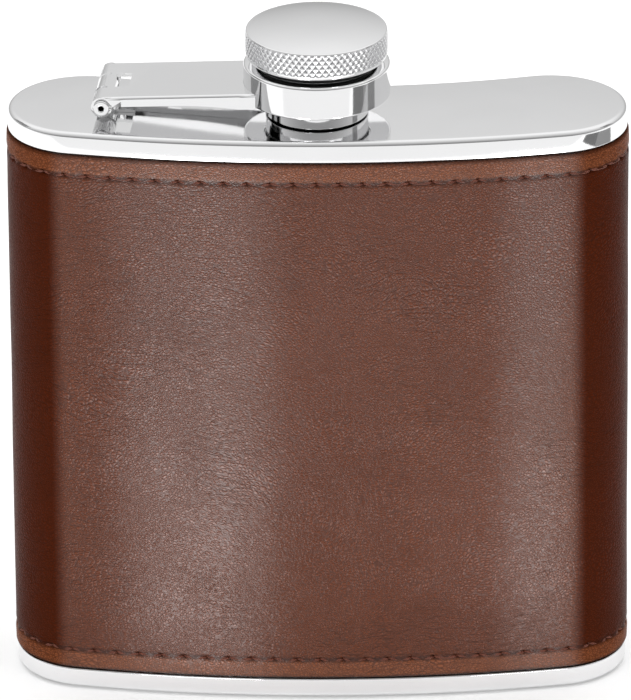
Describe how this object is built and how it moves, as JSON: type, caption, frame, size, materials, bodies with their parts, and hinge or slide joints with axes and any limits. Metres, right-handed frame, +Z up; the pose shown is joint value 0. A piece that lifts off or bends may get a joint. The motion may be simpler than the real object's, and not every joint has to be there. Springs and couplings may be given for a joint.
{
  "type": "hip flask",
  "caption": "Kidney-section steel hip flask in a stitched leather wrap, with a knurled screw cap held captive in a ring on a hinged arm.",
  "frame": {"origin": "centre of the box at the resting face", "axes": "+Z up through the cap, -Y out of the convex front, -X towards the hinge"},
  "size_m": [0.095, 0.0276, 0.1079],
  "materials": {
    "polished_steel": "mirror-polished stainless steel",
    "inner_steel": "plain stainless steel",
    "leather": "glossy grained brown leather",
    "thread": "waxed dark brown thread",
    "black_rubber": "matt black rubber",
    "seal_liner": "off-white seal"
  },
  "bodies": {
    "flask": {"body_wall": "inner_steel", "shoulder_plate": "polished_steel", "base_plate": "polished_steel", "neck": "inner_steel", "leather_wrap": "leather", "top_stitching": "thread", "bottom_stitching": "thread", "seam_stitching": "thread", "hinge_bracket": "inner_steel", "hinge_pin": "polished_steel"},
    "arm": {"captive_arm": "polished_steel", "collar_ring": "polished_steel"},
    "cap_carrier": {"cap_washer": "black_rubber"},
    "cap": {"cap_head": "polished_steel", "cap_sleeve": "polished_steel", "cap_liner": "seal_liner"}
  },
  "joints": [
    {"name": "arm_swing", "type": "hinge", "parent": "flask", "child": "arm", "pos_m": [-0.0321, 0.00124, 0.09585], "axis": [-0.0838, -0.9965, 0], "range_deg": [0, 150]},
    {"name": "cap_lift", "type": "slide", "parent": "arm", "child": "cap_carrier", "axis": [0, 0, 1], "range_m": [0, 0.0025]},
    {"name": "cap_turn", "type": "hinge", "parent": "cap_carrier", "child": "cap", "pos_m": [0, -0.00146, 0.1014], "axis": [0, 0, 1], "range_deg": [0, 720]}
  ],
  "couplings": [
    {"joint": "cap_turn", "follows": "cap_lift", "rad_per_m": 5026.5}
  ]
}
